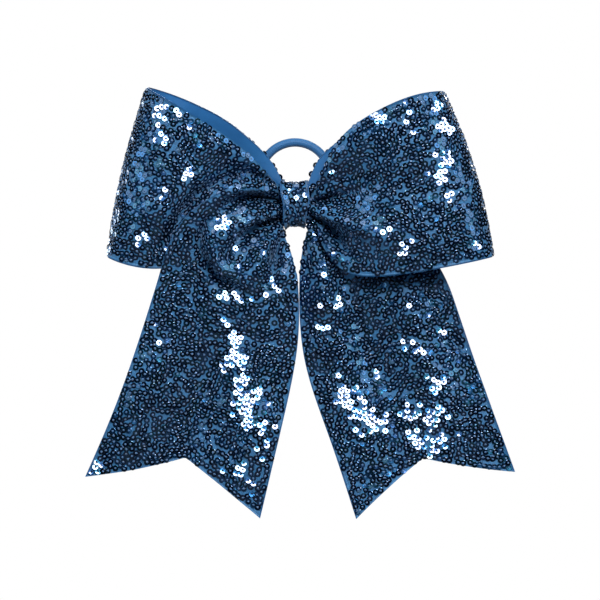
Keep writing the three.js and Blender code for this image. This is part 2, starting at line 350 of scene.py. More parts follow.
# ---- Sequins ----
class Stitcher:
    """Lays sequins in wandering lines over a strip, evenly spaced on its curved surface."""

    def __init__(self, strip, seed, margin, spacing):
        self.rng = random.Random(seed)
        self.spacing = spacing
        self.cell = 1.2 * spacing
        self.cells = {}
        self.places = []
        self.lines = []
        self.rows, self.columns = strip.rows, strip.columns
        face = strip.grid + strip.normal * FACE_LIFT
        self.face = face.tolist()
        self.normal = strip.normal.tolist()
        self.along = strip.along.tolist()
        self.across = strip.across.tolist()
        length, width = strip.lengths()
        self.margin_u = margin / length
        self.margin_v = margin / width

    def look(self, table, u, v):
        x, y = u * (self.rows - 1), v * (self.columns - 1)
        i, j = min(int(x), self.rows - 2), min(int(y), self.columns - 2)
        s, t = x - i, y - j
        a, b, c, d = table[i][j], table[i + 1][j], table[i][j + 1], table[i + 1][j + 1]
        wa, wb, wc, wd = (1 - s) * (1 - t), s * (1 - t), (1 - s) * t, s * t
        return [a[k] * wa + b[k] * wb + c[k] * wc + d[k] * wd for k in range(3)]

    def crowd(self, p, skip):
        """How many sequins are just beside a place, or -1 where one is too near."""
        cx, cy, cz = (int(math.floor(q / self.cell)) for q in p)
        limit = self.spacing**2
        beside = 0
        for dx in (-1, 0, 1):
            for dy in (-1, 0, 1):
                for dz in (-1, 0, 1):
                    for n in self.cells.get((cx + dx, cy + dy, cz + dz), ()):
                        if n == skip:
                            continue
                        q = self.places[n][0]
                        apart = (p[0] - q[0]) ** 2 + (p[1] - q[1]) ** 2 + (p[2] - q[2]) ** 2
                        if apart < limit:
                            return -1
                        if apart < 1.44 * limit:
                            beside += 1
        return beside

    def put(self, p, u, v, heading):
        n = len(self.places)
        self.places.append((p, u, v, heading))
        cell = tuple(int(math.floor(q / self.cell)) for q in p)
        self.cells.setdefault(cell, []).append(n)
        return n

    def step(self, u, v, heading, length):
        """The shares of the point a length away on the surface, in a heading from the strip's length."""
        pu, pv = self.look(self.along, u, v), self.look(self.across, u, v)
        uu = sum(a * a for a in pu)
        uv = sum(a * b for a, b in zip(pu, pv))
        size = math.sqrt(uu)
        e1 = [a / size for a in pu]
        skew = uv / size
        perp = [b - skew * a for a, b in zip(e1, pv)]
        perp_size = math.sqrt(max(sum(a * a for a in perp), 1e-12))
        dv = math.sin(heading) * length / perp_size
        du = (math.cos(heading) * length - dv * skew) / size
        return u + du, v + dv

    def inside(self, u, v):
        return 0.4 * self.margin_u < u < 1 - self.margin_u and self.margin_v < v < 1 - self.margin_v

    def fill(self, seeds, longest=60):
        rows, columns = seeds
        starts = [
            ((i + self.rng.random()) / rows, (j + self.rng.random()) / columns)
            for i in range(rows)
            for j in range(columns)
        ]
        self.rng.shuffle(starts)
        for u, v in starts:
            if not self.inside(u, v):
                continue
            p = self.look(self.face, u, v)
            if self.crowd(p, -1) >= 0:
                self.grow(u, v, p, longest)
        return self

    def grow(self, u, v, p, longest):
        rng = self.rng
        heading = rng.uniform(0, 2 * math.pi)
        bend = rng.uniform(-0.6, 0.6)
        line = [self.put(p, u, v, heading)]
        for _ in range(rng.randint(longest // 3, longest)):
            bend = 0.72 * bend + rng.gauss(0, 0.34)
            best = None
            for extra in (0, 0.35, -0.35, 0.7, -0.7, 1.1, -1.1, 1.5, -1.5):
                turned = heading + bend + extra
                nu, nv = self.step(u, v, turned, SEQUIN_STEP)
                if not self.inside(nu, nv):
                    continue
                q = self.look(self.face, nu, nv)
                beside = self.crowd(q, line[-1])
                if beside < 0:
                    continue
                worth = beside - 0.9 * abs(extra) + rng.uniform(0, 0.5)
                if best is None or worth > best[0]:
                    best = (worth, turned, nu, nv, q)
            if best is None:
                break
            _, heading, u, v, q = best
            line.append(self.put(q, u, v, heading))
        self.lines.append(line)


# The way to the key light, and the way a sequin faces when it throws that light straight forwards.
KEY_WAY = (0.2, -1.0, 0.56)
GLINT_WAY = np.array(KEY_WAY) / np.linalg.norm(KEY_WAY) + np.array((0.0, -1.0, 0.0))
GLINT_WAY /= np.linalg.norm(GLINT_WAY)
# Patches where small dents of the fabric turn neighbouring sequins that way: x, z and reach.
GLINTS = [
    (-58, 42, 2.4), (-58, 36, 2.2), (-57, 29, 2), (-50, 40, 1.6), (-45, 12.5, 2.2), (-64.5, -13, 3.2),
    (-77, 18, 1.6), (-78, 2, 1.4), (-31, -9.5, 2), (-24, -20.5, 1.4), (-31, -40, 2), (-25, -41.5, 2),
    (-10, -37, 2), (-29, -50, 2.2), (-26.5, -58, 3.2), (-25, -67, 4), (-22.5, -76, 3.4), (-21, -86, 4.6),
    (-18.5, -93, 4.6), (-13, -99, 4), (-14, -108, 3.4), (-24, -113, 3.6), (-19, -121, 2.4), (-86, -113, 2),
    (35, 37, 2.6), (62, 43, 2.4), (63, 32, 3), (63.5, 20, 3.8), (62, 12, 3.8), (66, 3, 3), (46, -17.5, 3),
    (39, -12.5, 1.4), (15.5, 14.6, 1.2), (9.5, 1.7, 1), (78, -17.5, 2.2),
    (12, -51, 3.6), (18, -42, 2.2), (10, -45, 1.6), (47.5, -35, 2), (48, -60, 2), (56, -63, 2),
    (62, -53, 1.8),
    (22, -83, 4), (27, -88, 3.6), (32, -93, 3.8), (51, -88, 4), (59, -92, 3.6), (60, -77, 3.6),
    (61, -104, 3.4), (53, -101, 4),
]


def sequin_template(segments=12):
    """A sequin's points and faces about its hole, facing +Z: a very shallow cup with a rolled rim."""
    rings = [
        (SEQUIN_HOLE, 0.0),
        (SEQUIN_RADIUS - 0.14, 0.02),
        (SEQUIN_RADIUS, -0.03),
        (SEQUIN_RADIUS - 0.2, -0.07),
    ]
    angle = np.linspace(0, 2 * math.pi, segments, endpoint=False)
    points = [(r * math.cos(a), r * math.sin(a), z) for r, z in rings for a in angle]
    index = np.arange(len(rings) * segments).reshape(len(rings), segments)
    nxt = np.roll(index, -1, 0)
    faces = np.stack([index, nxt, np.roll(nxt, -1, 1), np.roll(index, -1, 1)], -1).reshape(-1, 4)
    return np.array(points), faces


def basis_from(normal, tangent):
    """Unit axes for each row: x along tangent, z along normal."""
    z = normal / np.linalg.norm(normal, axis=1, keepdims=True)
    x = tangent - z * (tangent * z).sum(1, keepdims=True)
    x /= np.maximum(np.linalg.norm(x, axis=1, keepdims=True), 1e-9)
    return x, np.cross(z, x), z


def sequin_pieces(name, strip, seed, seeds, margin=1.3, spacing=SEQUIN_SPACING, halves=False):
    """The sequins of one strip, as one object or one for each half of its length, and their thread."""
    stitcher = Stitcher(strip, seed, margin, spacing).fill(seeds)
    stitcher.spacing = min(spacing, SEQUIN_CROWDING)
    stitcher.fill(seeds, longest=12)
    rng = np.random.RandomState(seed)
    places = stitcher.places
    centre = np.array([p[0] for p in places])
    normal = np.array([stitcher.look(stitcher.normal, p[1], p[2]) for p in places])
    along = np.array([stitcher.look(stitcher.along, p[1], p[2]) for p in places])
    across = np.array([stitcher.look(stitcher.across, p[1], p[2]) for p in places])
    heading = np.array([p[3] for p in places])
    e1 = along / np.linalg.norm(along, axis=1, keepdims=True)
    e2 = across - e1 * (across * e1).sum(1, keepdims=True)
    e2 /= np.maximum(np.linalg.norm(e2, axis=1, keepdims=True), 1e-9)
    tangent = e1 * np.cos(heading)[:, None] + e2 * np.sin(heading)[:, None]
    side = np.cross(normal, tangent)
    count = len(places)
    lean = 0.07 + rng.normal(0, 0.075, count)
    roll = rng.normal(0, 0.095, count)
    tilted = normal + tangent * lean[:, None] + side * roll[:, None]
    luck = np.zeros(count)
    for line in stitcher.lines:
        luck[line] = rng.uniform(0.2, 1.8)
    tilted, bright = turn_to_glints(centre, normal, tilted, luck, rng)
    x, y, z = basis_from(tilted, tangent)
    template, faces = sequin_template()
    spin = rng.uniform(0, 2 * math.pi, count)
    cx = x * np.cos(spin)[:, None] + y * np.sin(spin)[:, None]
    cy = y * np.cos(spin)[:, None] - x * np.sin(spin)[:, None]
    size = rng.normal(1, 0.02, count)
    lift = 0.2 + rng.uniform(-0.04, 0.04, count) + 0.14 * bright
    local = template[None] * size[:, None, None]
    points = (
        centre[:, None]
        + normal[:, None] * lift[:, None, None]
        + cx[:, None] * local[..., :1]
        + cy[:, None] * local[..., 1:2]
        + z[:, None] * local[..., 2:]
    )
    tone = rng.choice(3, count, p=(0.5, 0.3, 0.2))
    share = np.array([p[1] for p in places])
    sequins = []
    parts = {"front": share < 0.5, "back": share >= 0.5} if halves else {"all": share >= 0}
    for part, chosen in parts.items():
        amount = int(chosen.sum())
        piece = new_mesh(
            f"{name}_{part}_sequins",
            points[chosen].reshape(-1, 3),
            (faces[None] + (np.arange(amount) * len(template))[:, None, None]).reshape(-1, 4),
            material_index=np.repeat(tone[chosen], len(faces)),
        )
        piece.data.set_sharp_from_angle(angle=math.radians(15))
        sequins.append(piece)
    bead = rng.uniform(0.4, 0.53, count)
    thread = thread_piece(name + "_stitching", stitcher.lines, centre, normal, bead, bright, rng)
    return sequins, thread


def turn_to_glints(centre, normal, tilted, luck, rng):
    """Sequins in a glint patch turn to face GLINT_WAY, each with a little error of its own. Whole lines do so
    more or less than their neighbours, by luck."""
    bright = np.zeros(len(centre), bool)
    for x, z, reach in GLINTS:
        distance = np.hypot(centre[:, 0] - x, centre[:, 2] - z)
        chance = np.exp(-((distance / reach) ** 2))
        chosen = (rng.uniform(size=len(centre)) < chance * 1.15 * luck) & (normal[:, 1] < -0.6)
        error = rng.normal(0, 0.016, (len(centre), 3))
        tilted = np.where(chosen[:, None], GLINT_WAY + error, tilted)
        bright |= chosen
    return tilted, bright


def thread_piece(name, lines, centre, normal, bead, shaded, rng):
    """The thread of each line of stitches. It fills a sequin's hole, then dips under the next sequin.
    Where shaded is set, on glinting sequins, it takes the second, near-black material: painted shade that
    makes their holes look dark.
    """
    vertices, faces, tones, offset = [], [], [], 0
    sides = 6
    for line in lines:
        path, radius, tone = [], [], []
        for n, k in enumerate(line):
            here, up = centre[k], normal[k]
            after = centre[line[n + 1]] if n + 1 < len(line) else here + rng.normal(0, 0.12, 3)
            path += [here, here + up * 0.2, here + up * 0.27, here + (after - here) * 0.22 + up * 0.2]
            radius += [bead[k] * 0.8, bead[k], bead[k] * 0.55, 0.09]
            path.append((here + after) / 2 + up * 0.05)
            radius.append(0.08)
            # Glinting sequins get material 1, a thread darkened as painted shade in their holes.
            tone += [int(shaded[k])] * 5 * sides
        points, quads, _ = tube(path, radius, sides)
        vertices.append(points)
        faces.append(quads + offset)
        tones += tone[: len(quads)]
        offset += len(points)
    return new_mesh(name, np.concatenate(vertices), np.concatenate(faces), material_index=tones)


# ---- Materials ----
def material(name):
    made = bpy.data.materials.new(name)
    made.use_nodes = True
    nodes, links = made.node_tree.nodes, made.node_tree.links
    return made, nodes, links, nodes["Principled BSDF"]


def plain(name, color, **sockets):
    """A material whose settings are the same all over; the variety comes from which pieces wear it."""
    made, _, _, shader = material(name)
    shader.inputs["Base Color"].default_value = (*color, 1)
    for socket, value in sockets.items():
        shader.inputs[socket.replace("_", " ")].default_value = value
    return made


def woven(name, dark, light, roughness, thread_mm, bump, blotch_mm=9.0, **sockets):
    """Ribbon cloth: crossed threads in the relief, and soft blotches and change from thread to thread."""
    made, nodes, links, shader = material(name)
    uv = nodes.new("ShaderNodeUVMap")
    uv.uv_map = "ribbon"
    turns = 2 * math.pi / (thread_mm * MM)
    heights = []
    for axis in ("X", "Y"):
        wave = nodes.new("ShaderNodeTexWave")
        wave.wave_type = "BANDS"
        wave.bands_direction = axis
        wave.wave_profile = "SIN"
        wave.inputs["Scale"].default_value = turns / 20
        wave.inputs["Distortion"].default_value = 0.6
        wave.inputs["Detail"].default_value = 1
        wave.inputs["Detail Scale"].default_value = 2
        links.new(uv.outputs["UV"], wave.inputs["Vector"])
        heights.append(wave)
    weave = nodes.new("ShaderNodeMath")
    weave.operation = "MULTIPLY"
    links.new(heights[0].outputs["Fac"], weave.inputs[0])
    links.new(heights[1].outputs["Fac"], weave.inputs[1])
    blotch = nodes.new("ShaderNodeTexNoise")
    blotch.inputs["Scale"].default_value = 1 / (blotch_mm * MM)
    blotch.inputs["Detail"].default_value = 5
    links.new(uv.outputs["UV"], blotch.inputs["Vector"])
    mix = nodes.new("ShaderNodeMath")
    mix.operation = "MULTIPLY_ADD"
    mix.inputs[1].default_value = 0.45
    links.new(weave.outputs["Value"], mix.inputs[0])
    links.new(blotch.outputs["Fac"], mix.inputs[2])
    ramp = nodes.new("ShaderNodeValToRGB")
    ramp.color_ramp.elements[0].position = 0.3
    ramp.color_ramp.elements[0].color = (*dark, 1)
    ramp.color_ramp.elements[1].position = 0.9
    ramp.color_ramp.elements[1].color = (*light, 1)
    links.new(mix.outputs["Value"], ramp.inputs["Fac"])
    links.new(ramp.outputs["Color"], shader.inputs["Base Color"])
    relief = nodes.new("ShaderNodeBump")
    relief.inputs["Strength"].default_value = bump
    relief.inputs["Distance"].default_value = 0.15 * MM
    links.new(weave.outputs["Value"], relief.inputs["Height"])
    links.new(relief.outputs["Normal"], shader.inputs["Normal"])
    shader.inputs["Roughness"].default_value = roughness
    for socket, value in sockets.items():
        shader.inputs[socket.replace("_", " ")].default_value = value
    return made


def sequin_film(name, color):
    """Dark metallised film under a clear, glossy coat."""
    coat = {"Coat_Weight": 0.55, "Coat_Roughness": 0.05, "Coat_IOR": 1.6}
    return plain(name, color, Metallic=0.95, Roughness=0.2, **coat)


def make_materials():
    mesh_dark, mesh_light = (0.01, 0.056, 0.14), (0.038, 0.2, 0.42)
    satin_dark, satin_light = (0.014, 0.115, 0.31), (0.026, 0.165, 0.4)
    elastic_dark, elastic_light = (0.014, 0.1, 0.26), (0.022, 0.14, 0.34)
    return {
        "mesh": woven("sequin_mesh", mesh_dark, mesh_light, 0.5, 0.7, 0.6, 1.6, Sheen_Weight=0.25),
        "satin": woven("satin_ribbon", satin_dark, satin_light, 0.42, 0.45, 0.25, Sheen_Weight=0.2),
        "elastic": woven("elastic_cord", elastic_dark, elastic_light, 0.6, 0.9, 0.5, Sheen_Weight=0.35),
        "thread": plain("stitching_thread", (0.1, 0.2, 0.4), Roughness=0.55, Sheen_Weight=0.3),
        # Near-black thread for the holes of glinting sequins: painted shade, not the thread's own colour.
        "shade-painted thread": plain("shade_painted_stitching_thread", (0.008, 0.02, 0.06), Roughness=0.7),
        "binding": plain("binding_thread", (0.015, 0.05, 0.13), Roughness=0.8, Sheen_Weight=0.3),
        "glue": plain("hot_glue", (0.78, 0.75, 0.66), Roughness=0.28, Subsurface_Weight=0.4, Coat_Weight=0.3),
        "sequins": [
            sequin_film("navy_sequin", (0.0035, 0.018, 0.054)),
            sequin_film("blue_sequin", (0.007, 0.045, 0.115)),
            sequin_film("teal_sequin", (0.005, 0.038, 0.07)),
        ],
    }


def wear(piece, *materials):
    for each in materials:
        piece.data.materials.append(each)
    return piece


# ---- The ribbon's strips ----
NECK_X = 4.4  # inside the knot's wrap, where each strip disappears into the gathers
LEFT_LOOP_TOP = [
    (-NECK_X, MIDDLE_LAYER_Y, 6.5),
    (-8, -15.5, 8.5),
    (-12, -16.5, 13.5),
    (-16.5, -18, 18.5),
    (-25, -21.5, 26),
    (-35, -26, 33),
    (-46, -29, 39.5),
    (-57, -26, 46),
    (-63.6, -15, 50.2),
    (-57.5, -5, 49),
    (-46, -3, 44.8),
    (-31, -8, 37.2),
    (-20.6, -11.4, 29.2),
    (-13.7, -12.5, 22.7),
    (-8.3, -12.5, 15.5),
    (-NECK_X, BACK_LAYER_Y, 7.5),
]
LEFT_LOOP_BOTTOM = [
    (-NECK_X, MIDDLE_LAYER_Y, -6),
    (-9, -15.2, -8.5),
    (-14, -16, -11.5),
    (-20, -17.5, -15),
    (-30, -20, -19.5),
    (-42, -22.5, -24),
    (-58, -25.5, -27.8),
    (-73.5, -24, -25.8),
    (-80.6, -15, -22.8),
    (-73.5, -6.5, -24.5),
    (-58, -4, -26.5),
    (-42, -7, -23.5),
    (-30, -9.5, -19),
    (-20, -11.5, -14.5),
    (-10, -12.2, -9.5),
    (-NECK_X, BACK_LAYER_Y, -6),
]
RIGHT_LOOP_TOP = [
    (NECK_X, FRONT_LAYER_Y, 6.5),
    (8.8, -18.5, 8),
    (11.4, -20, 13.5),
    (14.2, -21.5, 19.3),
    (18, -23, 26.7),
    (27.5, -26.5, 35.5),
    (44, -31, 44),
    (57, -27.5, 47.8),
    (63.8, -15, 48.5),
    (57, -4, 46.5),
    (44, -2.5, 41),
    (27, -8.5, 33),
    (13.5, -12.3, 23),
    (8.4, -12.5, 16.3),
    (6.4, -12.5, 11.5),
    (NECK_X, BACK_LAYER_Y, 6.5),
]
RIGHT_LOOP_BOTTOM = [
    (NECK_X, FRONT_LAYER_Y, -6),
    (7.6, -17.6, -7.2),
    (9.6, -17.8, -12),
    (12.2, -18.2, -17.8),
    (17, -19.6, -25),
    (28, -23.5, -31),
    (52, -28.5, -29.4),
    (76, -26, -24.9),
    (85, -15, -22.6),
    (75.5, -5.5, -24),
    (52, -3, -26.5),
    (34, -8, -24),
    (20, -11.5, -17),
    (13, -12, -12.5),
    (8.5, -12.2, -9),
    (NECK_X, BACK_LAYER_Y, -6),
]
LEFT_TAIL_OUTER = [
    (-5.3, FRONT_LAYER_Y, 7),
    (-10, -19.5, 8.6),
    (-20.6, -25.5, 9.1),
    (-31.3, -30, 5.6),
    (-42.5, -31.5, -1.7),
    (-50.6, -31, -10.7),
    (-55.6, -29.5, -21.9),
    (-59.2, -28, TAIL_HINGE_Z),
    (-67.5, -26, -60),
    (-78, -24.5, -89),
    (-90, -24, -117),
]
LEFT_TAIL_INNER = [
    (-4.6, FRONT_LAYER_Y, -7.4),
    (-5.3, -18.2, -10),
    (-4.6, -19, -13),
    (-3.6, -20.3, -16.5),
    (-1.9, -22.3, -20.5),
    (-0.6, -24.8, -25),
    (0.6, -26.8, -29.5),
    (1.2, -28, TAIL_HINGE_Z),
    (1.1, -26, -60),
    (-6.1, -24.5, -97),
    (-15, -24, -134.8),
]
RIGHT_TAIL_OUTER = [
    (5.3, MIDDLE_LAYER_Y, 7),
    (10, -15.2, 8.6),
    (20.6, -15.5, 9.1),
    (31.3, -15.8, 5.6),
    (42.5, -16, -1.7),
    (51, -16, -10.7),
    (58.5, -16, -22),
    (65.5, -16, TAIL_HINGE_Z),
    (74.5, -16, -60),
    (85, -17, -89),
    (94.5, -18, -115),
]
RIGHT_TAIL_INNER = [
    (4.8, MIDDLE_LAYER_Y, -7.4),
    (5.7, -15, -9.8),
    (4.9, -15.1, -13),
    (3.9, -15.2, -16.5),
    (3.0, -15.4, -20.5),
    (2.4, -15.7, -25),
    (1.9, -15.9, -29.5),
    (1.8, -16, TAIL_HINGE_Z),
    (3.6, -16, -64.5),
    (14.4, -17, -99.5),
    (26.2, -18, -135.3),
]

# Folds: each a line of (x, z, depth along Y, width). Depth above 0 is a valley in a front panel.
LEFT_TAIL_FOLDS = [
    [(-5, 5, -0.5, 1.4), (-12, 7, -3.2, 1.8), (-21, 7.4, -4.6, 2.1), (-30, 4, -2.4, 3.3), (-40, -2, 0, 4)],
    [(-4, 0.8, 2.4, 0.8), (-13, 1.8, 6.2, 1.5), (-21, 2, 7, 2.2), (-27, 0.4, 4.4, 2.5), (-35, -5, 0, 4)],
    [(-5, -2.5, -1, 1.4), (-12, -3.8, -4.6, 2.1), (-22, -7.4, -5.4, 3.4), (-31, -15, -4.4, 5),
     (-33, -25, -2, 6)],
    [(-5, -6, 2.6, 0.9), (-13, -8.8, 6.2, 1.5), (-19, -11.8, 6.6, 1.9), (-26, -18, 3, 3), (-30, -26, 0, 4)],
    [(-5, -9, -0.8, 1.2), (-10, -14, -3, 2.2), (-15, -23, -4, 4), (-19, -34, -2.6, 5), (-22, -44, 0, 6)],
    [(-4.6, -11, 1, 1.4), (-7, -17, 4, 1.8), (-8.6, -24, 5.6, 2.2), (-9.6, -31, 3.6, 2.8), (-12, -40, 0, 4)],
    [(-35, -3, 0, 2), (-39, -9, 3.4, 2), (-40.5, -17, 5, 2.2), (-38, -26, 5.6, 2.3), (-31.5, -33, 5, 2.5),
     (-23, -38, 3, 2.8), (-15, -41, 0, 3)],
    [(-36, -10, 0, 3), (-36.5, -17, -2, 3), (-34.5, -24, -2.6, 3), (-29, -29, -2.2, 3), (-21, -33, 0, 3)],
    [(-30, -52, 0, 6), (-35, -70, 2.8, 7), (-42, -92, 2.8, 9), (-50, -112, 0, 9)],
    [(-54, -50, 0, 6), (-62, -76, -2.4, 8), (-72, -104, -1.4, 9)],
    [(-14, -74, 0, 6), (-16, -96, -2.4, 7), (-20, -122, -1, 8)],
]
RIGHT_LOOP_FOLDS = [
    [(6, 6, -0.6, 1.6), (12, 13, -2.6, 2.6), (18, 22, -2.8, 4), (30, 30, -1.5, 7), (44, 32, 0, 9)],
    [(6, 0.8, 2.4, 0.9), (13, 1.3, 6.2, 1.8), (20.5, 2.2, 5.4, 3), (27, 3, 2.6, 4), (36, 3, 0, 6)],
    [(11, 7, 0.4, 3), (17, 8, 1.8, 4.6), (24, 10, 3.6, 6), (33, 10, 1.5, 8), (40, 12, 0, 8)],
    [(6, -2, -1, 1.2), (14, -4.6, -4.8, 1.9), (21, -7, -5.8, 2.6), (33, -12.5, -3.6, 5), (48, -20, 0, 8)],
    [(6.5, -5, 2.4, 0.9), (13, -8.8, 6.2, 1.5), (17.6, -13.6, 7, 2), (21, -19.5, 4, 2.5), (25, -26, 0, 3)],
    [(9, -12, -0.8, 1), (13, -17.5, -1.6, 1.5), (18, -23.5, -1.4, 2), (26, -28, 0, 3)],
    [(44, -2, 0, 6), (56, 6, 1.8, 9), (70, 10, 0, 9)],
]
LEFT_LOOP_FOLDS = [
    [(-6, 5, 1.5, 2), (-16, 11, 3, 3.4), (-28, 14, 2.4, 6), (-42, 14, 0, 8)],
    [(-8, 10, -0.6, 2), (-22, 20, -2, 4), (-38, 26, -1.6, 8), (-52, 28, 0, 9)],
    [(-52, 2, 0, 6), (-60, -2, -2.2, 7), (-70, -6, 0, 8)],
    [(-20, 13, 1.5, 3), (-31, 9, 4.4, 3.4), (-42, 2, 6, 3.8), (-50, -8, 5, 3.8), (-55, -18, 2, 4)],
]
RIGHT_TAIL_FOLDS = [
    [(5, -9, -0.8, 2), (10, -24, -3, 5), (16, -46, -3.4, 9), (26, -76, -2.4, 10), (36, -108, 0, 12)],
    [(20, -32, 2, 4), (28, -56, 3.2, 7), (38, -84, 2.6, 8), (48, -108, 0, 9)],
    [(46, -34, -2.4, 7), (54, -62, -3.4, 9), (64, -92, -1.8, 9), (74, -112, 0, 10)],
    [(62, -40, 1.5, 5), (70, -66, 2.2, 6), (80, -92, 0, 7)],
]


def loop_swell(end):
    """Each loop's front swells forward, its back swells back, and its end fold swells sideways by end."""

    def swell(share):
        out = np.zeros((*share.shape, 3))
        out[..., 0] = end * np.exp(-(((share - 0.5) / 0.14) ** 2))
        out[..., 1] = -3 * np.sin(2 * math.pi * share)
        return out

    return swell


def front_only(grid, folds):
    """Folds on the front half of a loop, from its front neck to its end."""
    rows = len(grid)
    cut = rows // 2
    fade = np.clip((cut - np.arange(rows)) / (0.12 * rows), 0, 1)[:, None]
    for fold in folds:
        add_fold(grid, fold, fade)
    return grid


def loop_grid(top, bottom, end, folds, seed, rows=230, columns=72):
    grid = strip_grid(top, bottom, rows, columns, swell=loop_swell(end))
    return add_relief(front_only(grid, folds), [], waves=0.45, seed=seed)


def tail_grid(outer, inner, folds, seed, rows=150, columns=72):
    grid = strip_grid(outer, inner, rows, columns, notch=0.052, notch_from=0.7)
    return add_relief(grid, folds, waves=0.6, seed=seed)


def lay_back_panel(loop, *fronts):
    """Lays a loop's back panel behind its front panel and the layers given, except at the end fold."""
    front, back = np.array_split(loop, 2)
    share = np.clip((np.arange(len(back)) - 12) / 30, 0, 1)[:, None]
    lay_behind(back, front, *fronts, share=share)


def make_strip_pieces(name, strip, held, replaced, seed, seeds, mats):
    """A strip's sequin mesh, backing ribbon, sequins and stitching."""
    fabric = wear(slab(name + "_sequin_mesh", strip, LAYER_GAP / 2, FACE_LIFT, inset=0.45), mats["mesh"])
    behind = -LAYER_GAP / 2
    backing = wear(slab(name + "_backing_ribbon", strip, behind - BACKING_THICKNESS, behind), mats["satin"])
    sequins, thread = sequin_pieces(name, strip, seed, seeds, halves=held == "folded")
    wear(thread, mats["thread"], mats["shade-painted thread"])
    worn = [(fabric, "sequin_face"), (backing, "satin_backing"), (thread, "thread")]
    for piece, slot_name in worn + [(wear(each, *mats["sequins"]), "sequin_face") for each in sequins]:
        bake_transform(piece)
    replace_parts(fabric, *[n for n in replaced if n.endswith("face")])
    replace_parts(backing, *[n for n in replaced if n.endswith("backing")])
    flat = (RIBBON_WIDTH * MM, strip.lengths()[0] * MM)


def make_ribbon(mats):
    left_loop = loop_grid(LEFT_LOOP_TOP, LEFT_LOOP_BOTTOM, -2, LEFT_LOOP_FOLDS, seed=3)
    right_loop = loop_grid(RIGHT_LOOP_TOP, RIGHT_LOOP_BOTTOM, 3, RIGHT_LOOP_FOLDS, seed=8)
    left_tail = tail_grid(LEFT_TAIL_OUTER, LEFT_TAIL_INNER, LEFT_TAIL_FOLDS, seed=14)
    right_tail = tail_grid(RIGHT_TAIL_OUTER, RIGHT_TAIL_INNER, RIGHT_TAIL_FOLDS, seed=21)
    lay_behind(np.array_split(left_loop, 2)[0], left_tail)
    lay_back_panel(left_loop)
    lay_behind(right_tail, np.array_split(right_loop, 2)[0])
    lay_back_panel(right_loop, right_tail)
    left_loop, right_loop = Strip(left_loop, 1), Strip(right_loop, -1)
    left_tail, right_tail = Strip(left_tail, 1), Strip(right_tail, -1)
    make_strip_pieces(
        "left_loop", left_loop, "folded", ["left_loop_sequin_face", "left_loop_backing"],
        101, (150, 60), mats,
    )
    make_strip_pieces(
        "right_loop", right_loop, "folded", ["right_loop_sequin_face", "right_loop_backing"],
        102, (150, 60), mats,
    )
    for side, strip, seed in (("left", left_tail, 103), ("right", right_tail, 104)):
        layers = ("_sequin_face", "_backing")
        replaced = [f"{side}_tail{part}{layer}" for part in ("_upper", "") for layer in layers]
        make_strip_pieces(
            side + "_tail", strip, "gathered", replaced,
            seed, (100, 60), mats,
        )


# ---- Knot ----
def wrap_strip(rows=130, columns=26):
    """The short strip that starts under its own lap at the back, and goes over the top and down the front."""
    front, back = WRAP_LOW[1] + 1.1, WRAP_HIGH[1] - 1.1
    top, bottom = WRAP_HIGH[2] - 1.0, WRAP_LOW[2] + 1.0
    inner = back - 2.6
    line = [
        (inner, -4), (inner, 3), (inner - 1.4, top - 1.5), (inner - 6, top), (front + 5, top),
        (front + 1.2, top - 2), (front - 0.3, 2.5), (front - 0.3, -2.5), (front + 1.2, bottom + 2),
        (front + 5, bottom), (back - 6, bottom), (back - 1.4, bottom + 1.6), (back, -3.6), (back, 0.2),
        (back, 4.2),
    ]
    path = cubic(line, np.linspace(0, 1, rows))
    share = (path[:, 1] - bottom) / (top - bottom)
    half = 4.55 + 1.45 * share
    v = np.linspace(-1, 1, columns)
    grid = np.zeros((rows, columns, 3))
    grid[..., 0] = half[:, None] * v[None]
    grid[..., 1] = path[:, None, 0]
    grid[..., 2] = path[:, None, 1]
    slope = np.gradient(path, axis=0)
    slope /= np.linalg.norm(slope, axis=1, keepdims=True)
    inward = np.stack([slope[:, 1], -slope[:, 0]], -1) * -1
    ripple = 0.32 * np.cos(v * 8.5 + 0.9) + 0.2 * np.cos(v * 15 + share[:, None] * 5)
    dip = 2.2 * np.abs(v) ** 2.3 + ripple
    held = np.clip((front + 9 - path[:, 0]) / 6, 0, 1)
    grid[..., 0] += held[:, None] * 0.35 * np.sin(share[:, None] * 9 + 3 * v)
    grid[..., 1] += (held[:, None] * dip) * inward[:, None, 0] * -1
    grid[..., 2] += (held[:, None] * dip) * inward[:, None, 1] * -1
    return Strip(grid, 1)


def pleat_piece(name, node, mat):
    """One gathered layer inside the knot: a sheet folded to and fro in the space of its CAD block."""
    low, high = node_box(node)
    folds = 5
    columns = folds * 12 + 1
    v = np.linspace(0, 1, columns)
    thickness = 0.55
    depth = (high[1] - low[1] - thickness) / 2
    middle = (high[1] + low[1]) / 2
    rows = 16
    grid = np.zeros((rows, columns, 3))
    grid[..., 0] = np.linspace(low[0], high[0], rows)[:, None]
    lean = 0.9 * np.sin(v * folds * 2 * math.pi + math.pi / 2)
    grid[..., 1] = middle + depth * np.sin(v * folds * 2 * math.pi)[None]
    grid[..., 2] = (low[2] + 0.9 + (high[2] - low[2] - 1.8) * v + lean * 0.35)[None]
    piece = slab(name, Strip(grid, 1), -thickness / 2, thickness / 2)
    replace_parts(wear(piece, mat), node)
    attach(piece, "knot")


def glue_piece(name, node, mat, seed):
    """A pressed blob of hot glue in the space of its CAD block, with a soft uneven outline."""
    low, high = node_box(node)
    middle, half = (low + high) / 2, (high - low) / 2
    bpy.ops.mesh.primitive_uv_sphere_add(segments=40, ring_count=20, radius=1)
    piece = bpy.context.object
    piece.name = piece.data.name = name
    co = np.array([v.co for v in piece.data.vertices])
    squared = np.sign(co) * np.abs(co) ** 0.6
    wobble = 1 + 0.06 * smooth_noise(co * 10, 7, seed)
    place = middle + squared * half * wobble[:, None]
    place = np.clip(place, low, high)
    piece.data.vertices.foreach_set("co", to_metres(place).ravel())
    piece.data.polygons.foreach_set("use_smooth", [True] * len(piece.data.polygons))
    piece.data.update()
    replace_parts(wear(piece, mat), node)
    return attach(piece, "knot")


